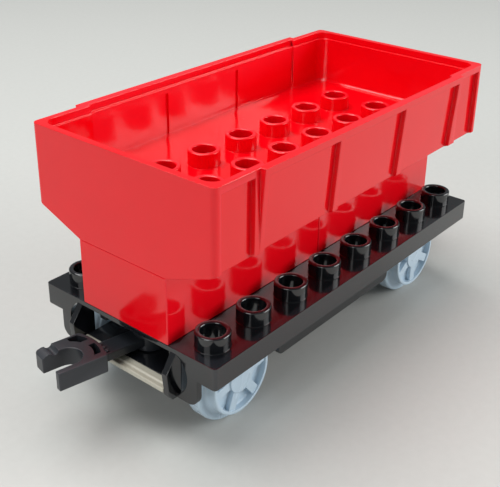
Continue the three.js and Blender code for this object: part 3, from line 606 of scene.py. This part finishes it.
def keeper_mesh():
    """Plate with round back corners and a shallow recess behind its hole."""
    back, half, top = axle_x + KEEPER_BACK, CHEEK_INNER - KEEPER_GAP, bar_high.z
    corner_x, corner_y = back + KEEPER_CORNER, half - KEEPER_CORNER
    outline = arc((corner_x, corner_y), KEEPER_CORNER, 90, 180, 5)
    outline += arc((corner_x, -corner_y), KEEPER_CORNER, 180, 270, 5)
    outline += [(bar_back - PRESS_GAP, -half), (bar_back - PRESS_GAP, half)]
    plate = prism(outline, top - KEEPER_THICKNESS, top, "z", 0.25)
    hole = turned([(0, -9), (POST_RADIUS + PRESS_GAP, -9), (POST_RADIUS + PRESS_GAP, 9), (0, 9)])
    recess = slab(back + 1.5, pivot_x - 3.6, -half + 3.5, half - 3.5, 0,
                  top - KEEPER_THICKNESS + 0.5)
    return cut(plate, moved(hole, pivot_x, 0, top), recess)


def end_bar_mesh():
    """Bar with a rounded front and a low step along its back."""
    section = [(bar_back, bar_low.z), (bar_back, bar_high.z), (bar_back + BAR_LEDGE, bar_high.z),
               (bar_back + BAR_LEDGE + BAR_STEP, bar_high.z - BAR_STEP),
               (bar_high.x, bar_high.z - BAR_STEP), (bar_high.x, bar_low.z)]
    return prism(section, bar_low.y, bar_high.y, "y", BAR_EDGE)


for place, end in (("front", -1), ("rear", 1)):
    turn = Matrix.Rotation(0 if end > 0 else math.pi, 4, "Z")
    # The plate takes the black ABS as painted shade for the deep shadow under the deck end.
    piece(f"{place}_keeper_plate_black_as_painted_shade", moved(keeper_mesh(), matrix=turn), "chassis",
          f"{place}_keeper", black_abs)
    piece(f"{place}_edge_bar", moved(end_bar_mesh(), matrix=turn), "chassis",
          f"{place}_end_bar", satin_styrene)

# ------------------------------------------------------------------ wheelsets
# Each wheel is one pale blue-grey ABS moulding: a flange, a narrow tread, a thin raised rim and six
# flat spokes. Two wheels are pressed on a 4 mm drawn steel axle that snaps up into the saddles.

WHEEL_WIDTH = 7.7
FLANGE_WIDTH = 4.4
TREAD_RADIUS = 11.0
RIM_WALL = 1.1
FACE_DROP = 0.4
HUB_RADIUS = 4.6
BOSS_LENGTH = 2.2
WEB_DEPTH = 3.0
TREAD_FILLET = 1.2
FACE_EDGE = 0.4
ROD_EDGE = 0.3
BACK_RIB_HALF = 0.6
SPOKES = 6
SPOKE_WIDTH = 2.8
SPOKE_DEPTH = 1.9
SPOKE_EDGE = 0.14
SPOKE_TURNS = {"front": 52, "rear": 30}
WHEEL_STEPS = 96

wheel_face = wheel_high.y
wheel_inner = wheel_face - WHEEL_WIDTH
about_y = Matrix.Rotation(math.radians(-90), 4, "X")


def wheel_profile():
    """The turned outline of a wheel, from the middle of its back round to the middle of its hub."""
    flange_outer = wheel_inner + FLANGE_WIDTH
    rim, floor = TREAD_RADIUS - RIM_WALL, wheel_face - SPOKE_DEPTH
    profile = [(0, wheel_inner + WEB_DEPTH), (10.6, wheel_inner + WEB_DEPTH)]
    profile += arc((10.8, wheel_inner + WEB_DEPTH - 0.5), 0.5, 90, 0, 3)
    profile += arc((11.6, wheel_inner + 0.3), 0.3, 180, 270, 3)
    profile += arc((flange_radius - 0.5, wheel_inner + 0.5), 0.5, 270, 360, 4)
    profile += arc((flange_radius - 0.7, flange_outer - 0.7), 0.7, 0, 90, 5)
    profile += arc((TREAD_RADIUS + TREAD_FILLET, flange_outer + TREAD_FILLET), TREAD_FILLET, 270, 180, 6)
    profile += arc((TREAD_RADIUS - FACE_EDGE, wheel_face - FACE_EDGE), FACE_EDGE, 0, 90, 4)
    profile += arc((rim + 0.15, wheel_face - 0.15), 0.15, 90, 180, 2)
    profile += arc((rim - 0.5, floor + 0.5), 0.5, 360, 270, 4)
    profile += arc((HUB_RADIUS + 0.3, floor + 0.3), 0.3, 270, 180, 3)
    profile += arc((HUB_RADIUS - 0.2, wheel_face - 0.2), 0.2, 0, 90, 3)
    return profile + [(0, wheel_face)]


def wheel_mesh(turn):
    """A wheel about Y, its face toward +Y and its first spoke turned by an angle."""
    disc = turned(wheel_profile(), WHEEL_STEPS)
    hole = turned([(0, 0), (axle_radius + PRESS_GAP, 0), (axle_radius + PRESS_GAP, axle_high.y + PRESS_GAP),
                   (0, axle_high.y + PRESS_GAP)])
    boss = turned([(0, wheel_inner - BOSS_LENGTH), (HUB_RADIUS - 0.2, wheel_inner - BOSS_LENGTH),
                   (HUB_RADIUS, wheel_inner - BOSS_LENGTH + 0.2),
                   (HUB_RADIUS, wheel_inner + WEB_DEPTH + 0.4), (0, wheel_inner + WEB_DEPTH + 0.4)])
    disc = joined(disc, boss)
    for index in range(SPOKES):
        about = Matrix.Rotation(-math.radians(turn + index * 360 / SPOKES), 4, "Z")
        spoke = slab(HUB_RADIUS - 0.8, TREAD_RADIUS - RIM_WALL + 0.5, -SPOKE_WIDTH / 2,
                     SPOKE_WIDTH / 2, wheel_face - SPOKE_DEPTH - 0.5, wheel_face - FACE_DROP,
                     SPOKE_EDGE)
        rib = slab(HUB_RADIUS - 0.6, 11.2, -BACK_RIB_HALF, BACK_RIB_HALF, wheel_inner + 1.0,
                   wheel_inner + WEB_DEPTH + 0.4, SPOKE_EDGE)
        disc = joined(disc, moved(spoke, matrix=about), moved(rib, matrix=about))
    return moved(cut(disc, hole), matrix=about_y)


def axle_mesh(x):
    end = axle_high.y
    profile = [(0, -end), (axle_radius - ROD_EDGE, -end), (axle_radius, -end + ROD_EDGE),
               (axle_radius, end - ROD_EDGE), (axle_radius - ROD_EDGE, end), (0, end)]
    return moved(turned(profile, 32), x, 0, axle_z, about_y)


def drawn_steel(name):
    """Bright steel rod, cold drawn: fine lines along its length catch the light as long streaks."""
    material = bpy.data.materials.new(name)
    material.use_nodes = True
    tree = material.node_tree
    shader = tree.nodes["Principled BSDF"]
    shader.inputs["Metallic"].default_value = 1.0
    place = add(tree, "ShaderNodeTexCoord").outputs["Object"]
    along = add(tree, "ShaderNodeMapping", {"Scale": (1.0, 0.02, 1.0)}, Vector=place)
    lines = add(tree, "ShaderNodeTexNoise", {"Scale": per_millimetre(0.25), "Detail": 4.0},
                Vector=along.outputs["Vector"])
    tone = add(tree, "ShaderNodeMix", {"data_type": "RGBA"}, Factor=lines.outputs["Fac"])
    tone.inputs[6].default_value = linear("#9a9da1")
    tone.inputs[7].default_value = linear("#c3c5c8")
    tree.links.new(shader.inputs["Base Color"], tone.outputs[2])
    rough = add(tree, "ShaderNodeMapRange", {"To Min": 0.22, "To Max": 0.42},
                Value=lines.outputs["Fac"])
    tree.links.new(shader.inputs["Roughness"], rough.outputs["Result"])
    grain = add(tree, "ShaderNodeBump", {"Strength": 0.6, "Distance": 0.01 / MM},
                Height=lines.outputs["Fac"])
    tree.links.new(shader.inputs["Normal"], grain.outputs["Normal"])
    return material


wheel_abs = moulded_plastic("pale blue-grey ABS, moulded", "#b4c9d8", "#bccfdd", "#dce8f0",
                            0.24, 1.54, 0.006)
bright_steel = drawn_steel("bright steel rod, drawn")
for place, end in (("front", -1), ("rear", 1)):
    left_wheel = wheel_mesh(SPOKE_TURNS[place])
    right_wheel = moved(left_wheel, matrix=Matrix.Rotation(math.pi, 4, "Z"))
    body = f"{place}_wheelset"
    x = end * axle_x
    piece(f"{place}_axle_rod", axle_mesh(x), body, f"{place}_axle", bright_steel)
    piece(f"{place}_left_wheel_disc", moved(left_wheel, x, 0, axle_z), body,
          f"{place}_wheel_left", wheel_abs)
    piece(f"{place}_right_wheel_disc", moved(right_wheel, x, 0, axle_z), body,
          f"{place}_wheel_right", wheel_abs)

# ------------------------------------------------------------------ bricks
# Two red ABS bricks, two studs by four, are pressed on the middle rows of the deck. Each is a shell
# with three tubes inside that grip the studs below, and hollow studs on top.

BRICK_WALL = 1.6
BRICK_ROOF = 1.8
BRICK_CORNER = 0.35
BRICK_RIB_HALF = 0.6
BRICK_RIB_RISE = 4.0
TUBE_GAP = 0.3
TUBE_WALL = 1.3
TUBE_RADIUS = STUD_PITCH / math.sqrt(2) - STUD_RADIUS - TUBE_GAP

red_abs = moulded_plastic("red gloss ABS, moulded", "#e2000e", "#ea0212", "#f42a3c", 0.09, 1.52)


def tubes(count, bottom, top):
    """A row of open tubes, the spaces between four studs apart, as one mesh of separate shells."""
    inner = TUBE_RADIUS - TUBE_WALL
    profile = [(inner, bottom + 0.25), (inner + 0.25, bottom), (TUBE_RADIUS - 0.2, bottom),
               (TUBE_RADIUS, bottom + 0.2), (TUBE_RADIUS, top), (inner, top)]
    tube = turned(profile, closed=True)
    return gathered([moved(tube, (i - (count - 1) / 2) * STUD_PITCH) for i in range(count)])


def brick_mesh(low, high):
    """A brick between its box's corners, with studs to the top of the box."""
    top = high.z - STUD_HEIGHT
    half_x, half_y = (high.x - low.x) / 2, (high.y - low.y) / 2
    middle_x = (high.x + low.x) / 2
    under = top - BRICK_ROOF
    box = prism(rounded_box_outline(half_x, half_y, BRICK_CORNER), low.z, top, "z", 0.25)
    room = prism(rounded_box_outline(half_x - BRICK_WALL, half_y - BRICK_WALL, 0.4), low.z - 1, under)
    shell = cut(box, room)
    shell = joined(shell, tubes(3, low.z + 0.1, under + 0.4))
    rib = slab(-BRICK_RIB_HALF, BRICK_RIB_HALF, TUBE_RADIUS - 0.4, half_y - BRICK_WALL + 0.4,
               low.z + BRICK_RIB_RISE, under + 0.4)
    ribs = [mirrored(moved(rib, x), 1, side) for x in (-STUD_PITCH, 0, STUD_PITCH) for side in (-1, 1)]
    shell = joined(shell, gathered(ribs))
    return studded(moved(shell, middle_x), stud_centres(4, 2, middle_x), top, BRICK_ROOF)


for place in ("front", "rear"):
    brick_low, brick_high = (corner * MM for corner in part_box(f"brick_{place}"))
    piece(f"{place}_brick", brick_mesh(brick_low, brick_high), "brick_layer", f"brick_{place}",
          red_abs)

# ------------------------------------------------------------------ hopper
# The open hopper is one red ABS moulding that spans both bricks. Its base is two studs wide; slopes
# carry it out to the width of the deck. The long walls have sunk panels between ribs, and their
# middle length leans outward to the rim.

HOPPER_WALL = 2.5
HOPPER_CORNER = 1.6
HOPPER_MARK_X = 56.0
SLOPE_RISE = 6.1
FLOOR_RISE = 11.3
FLOOR_PLATE = 1.8
RIM_BAND = 2.2
PANEL_DEPTH = 1.4
FLARE_HALF = 47.9
RIB_X = 16.0
RIB_WIDTH = 2.4
FLARE_STRIP = 2.0
END_STRIP = 1.7
CORNER_POST = 2.4
ROOM_CORNER = 3.5
ROOM_FILLET = 1.2
WIDE_HALF = 45.4
BULGE = 0.8
LEDGE_RISE = 0.6
LEDGE_WIDTH = 3.8
LEDGE_SLOPE = 2.6
LIP_DEPTH = 2.3
LIP_WIDTH = 0.5
FLARE_LIP = 0.9
GROOVE_WIDTH = 1.2
GROOVE_DEPTH = 0.6
GROOVE_TOP_GAP = 1.8

hopper_low, hopper_high = (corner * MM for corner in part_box("hopper"))
hopper_tall = hopper_high.z - hopper_low.z
flare = hopper_high.y - deck_side
base_half = (brick_high.y - brick_low.y) / 2


def lean(z):
    """How far the middle of a long wall has leaned out at a height above the base."""
    return flare * (z - SLOPE_RISE) / (hopper_tall - SLOPE_RISE)


def wall_band(x0, x1, depth, leaning, bottom, top):
    """Everything beyond a line this deep in the +Y wall, for cutting."""
    factor = 1.0 if leaning else 0.0
    far = deck_side + flare + 1
    return prism([(deck_side - depth + factor * lean(bottom), bottom), (far, bottom), (far, top),
                  (deck_side - depth + factor * lean(top), top)], x0, x1, "x")


def hopper_section(rim):
    return [(-base_half, 0), (base_half, 0), (deck_side, SLOPE_RISE), (rim, hopper_tall),
            (-rim, hopper_tall), (-deck_side, SLOPE_RISE)]


def hopper_room():
    """What is taken out for the inside: round corners, a wider middle, ledges left, a thin lip."""
    inner_x, inner_y = deck_end - HOPPER_WALL, deck_side - HOPPER_WALL
    above, ledge, lip = hopper_tall + 2, FLOOR_RISE + LEDGE_RISE, hopper_tall - LIP_DEPTH
    wide, foot = inner_y + BULGE, inner_y - LEDGE_WIDTH
    narrow = prism(rounded_box_outline(inner_x, inner_y, ROOM_CORNER), FLOOR_RISE, above, "z",
                   ROOM_FILLET)
    shelf = prism([(foot, FLOOR_RISE - 1), (wide, FLOOR_RISE - 1), (wide, ledge),
                   (foot + LEDGE_SLOPE, ledge), (foot, FLOOR_RISE)], -WIDE_HALF, WIDE_HALF, "x")
    for side in (-1, 1):
        narrow = cut(narrow, mirrored(shelf, 1, side))
    middle = slab(-WIDE_HALF, WIDE_HALF, -wide, wide, ledge, above)
    lip_ends = prism(rounded_box_outline(inner_x + LIP_WIDTH, inner_y + LIP_WIDTH, ROOM_CORNER),
                     lip, above)
    lip_middle = slab(-WIDE_HALF, WIDE_HALF, -wide - FLARE_LIP, wide + FLARE_LIP, lip, above)
    return joined(narrow, middle, lip_ends, lip_middle)


def hopper_shell():
    """The walls with their panels, ribs and grooves."""
    corners = prism(rounded_box_outline(deck_end, deck_side, HOPPER_CORNER), 0, hopper_tall)
    straight = prism(hopper_section(deck_side), -deck_end, deck_end, "x")
    leaning = prism(hopper_section(deck_side + flare), -FLARE_HALF, FLARE_HALF, "x")
    shell = joined(combined(straight, corners, "INTERSECT"), leaning)
    shell = cut(shell, hopper_room())
    panel_top = hopper_tall - RIM_BAND
    inner_rib, outer_rib = RIB_X - RIB_WIDTH / 2, RIB_X + RIB_WIDTH / 2
    panels = [wall_band(-inner_rib, inner_rib, PANEL_DEPTH, True, -1, panel_top)]
    inside = deck_side - HOPPER_WALL + BULGE
    for end in (-1, 1):
        for x0, x1, leaning in ((outer_rib, FLARE_HALF - FLARE_STRIP, True),
                                (FLARE_HALF + END_STRIP, deck_end - CORNER_POST, False)):
            panels.append(mirrored(wall_band(x0, x1, PANEL_DEPTH, leaning, -1, panel_top), end, 1))
        panels.append(slab(end * RIB_X - GROOVE_WIDTH / 2, end * RIB_X + GROOVE_WIDTH / 2,
                           inside - 1, inside + GROOVE_DEPTH, FLOOR_RISE + LEDGE_RISE,
                           hopper_tall - LIP_DEPTH - GROOVE_TOP_GAP))
    for side in (-1, 1):
        shell = cut(shell, *[mirrored(panel, 1, side) for panel in panels])
    return softened(shell, MOULD_EDGE)


def hopper_mesh():
    under = FLOOR_RISE - FLOOR_PLATE
    socket = prism(rounded_box_outline(deck_end - BRICK_WALL, base_half - BRICK_WALL, 0.4), -1, under)
    shell = cut(hopper_shell(), socket)
    shell = joined(shell, tubes(7, 0.1, under + 0.4))
    pin = turned([(0, -1), (EJECTOR_RADIUS, -1), (EJECTOR_RADIUS, EJECTOR_DEPTH),
                  (0, EJECTOR_DEPTH)], 20)
    marks = [moved(pin, x, 0, under) for x in (-HOPPER_MARK_X, HOPPER_MARK_X)]
    shell = cut(shell, gathered(marks))
    shell = studded(shell, stud_centres(6, 2), FLOOR_RISE, FLOOR_PLATE)
    return moved(shell, 0, 0, hopper_low.z)


piece("hopper_body", hopper_mesh(), "hopper", "hopper", red_abs)

# ------------------------------------------------------------------ floor, light and camera
# The wagon stands on a plain pale floor under soft studio light: a broad lamp overhead, a window of
# light to the right and a weaker one at the left.

FLOOR_HALF = 3.0
CAMERA_PLACE = (-195.2, -150.4, 158.8)
CAMERA_YAW = 39.55
CAMERA_PITCH = 24.88
CAMERA_ROLL = 0.78
FOCAL_WIDTHS = 892.6 / 500
SENSOR_WIDTH = 36.0
LENS_SHIFT = 0.1


def floor_sheet():
    """A matt painted board with a faint stipple in its colour."""
    mesh = bpy.data.meshes.new("floor")
    grid = bmesh.new()
    bmesh.ops.create_grid(grid, x_segments=24, y_segments=24, size=FLOOR_HALF)
    grid.to_mesh(mesh)
    grid.free()
    board = bpy.data.objects.new("floor", mesh)
    bpy.context.scene.collection.objects.link(board)
    material = bpy.data.materials.new("pale matt paint, rolled")
    material.use_nodes = True
    tree = material.node_tree
    shader = tree.nodes["Principled BSDF"]
    shader.inputs["Roughness"].default_value = 0.8
    place = add(tree, "ShaderNodeTexCoord").outputs["Object"]
    stipple = add(tree, "ShaderNodeTexNoise", {"Scale": per_millimetre(2.5), "Detail": 3.0},
                  Vector=place)
    tone = add(tree, "ShaderNodeMix", {"data_type": "RGBA"}, Factor=stipple.outputs["Fac"])
    tone.inputs[6].default_value = linear("#b9bab6")
    tone.inputs[7].default_value = linear("#bfc0bc")
    tree.links.new(shader.inputs["Base Color"], tone.outputs[2])
    board.data.materials.append(material)


def lamp(name, place, size, watts, tint="#ffffff"):
    """A rectangular soft box aimed at the wagon's middle."""
    data = bpy.data.lights.new(name, "AREA")
    data.shape = "RECTANGLE"
    data.size, data.size_y = size
    data.energy = watts
    data.color = linear(tint)[:3]
    light = bpy.data.objects.new(name, data)
    bpy.context.scene.collection.objects.link(light)
    light.location = place
    aim = Vector((0, 0, 0.045)) - Vector(place)
    light.rotation_euler = aim.to_track_quat("-Z", "Y").to_euler()


def camera():
    data = bpy.data.cameras.new("camera")
    data.sensor_width = SENSOR_WIDTH
    data.lens = FOCAL_WIDTHS * SENSOR_WIDTH
    data.shift_y = -LENS_SHIFT
    data.clip_start, data.clip_end = 0.01, 20.0
    view = bpy.data.objects.new("camera", data)
    bpy.context.scene.collection.objects.link(view)
    yaw, pitch, roll = (math.radians(a) for a in (CAMERA_YAW, CAMERA_PITCH, CAMERA_ROLL))
    forward = Vector((math.cos(pitch) * math.cos(yaw), math.cos(pitch) * math.sin(yaw),
                      -math.sin(pitch)))
    right = forward.cross(Vector((0, 0, 1))).normalized()
    up = right.cross(forward)
    side = right * math.cos(roll) + up * math.sin(roll)
    head = up * math.cos(roll) - right * math.sin(roll)
    turn = Matrix((side, head, -forward)).transposed().to_4x4()
    view.matrix_world = Matrix.Translation(Vector(CAMERA_PLACE) / MM) @ turn
    bpy.context.scene.camera = view


floor_sheet()
lamp("overhead", (-0.1, 0.25, 0.9), (0.9, 0.7), 10)
lamp("right window", (0.65, -0.8, 0.4), (0.8, 0.6), 9)
lamp("left window", (-0.9, -0.1, 0.45), (0.5, 0.5), 3)
world = bpy.data.worlds.new("studio")
world.use_nodes = True
world.node_tree.nodes["Background"].inputs["Color"].default_value = linear("#dfe3e6")
world.node_tree.nodes["Background"].inputs["Strength"].default_value = 0.3
bpy.context.scene.world = world
# The plain display curve leaves the reds as deep as their own colour.
bpy.context.scene.view_settings.view_transform = "Standard"
camera()
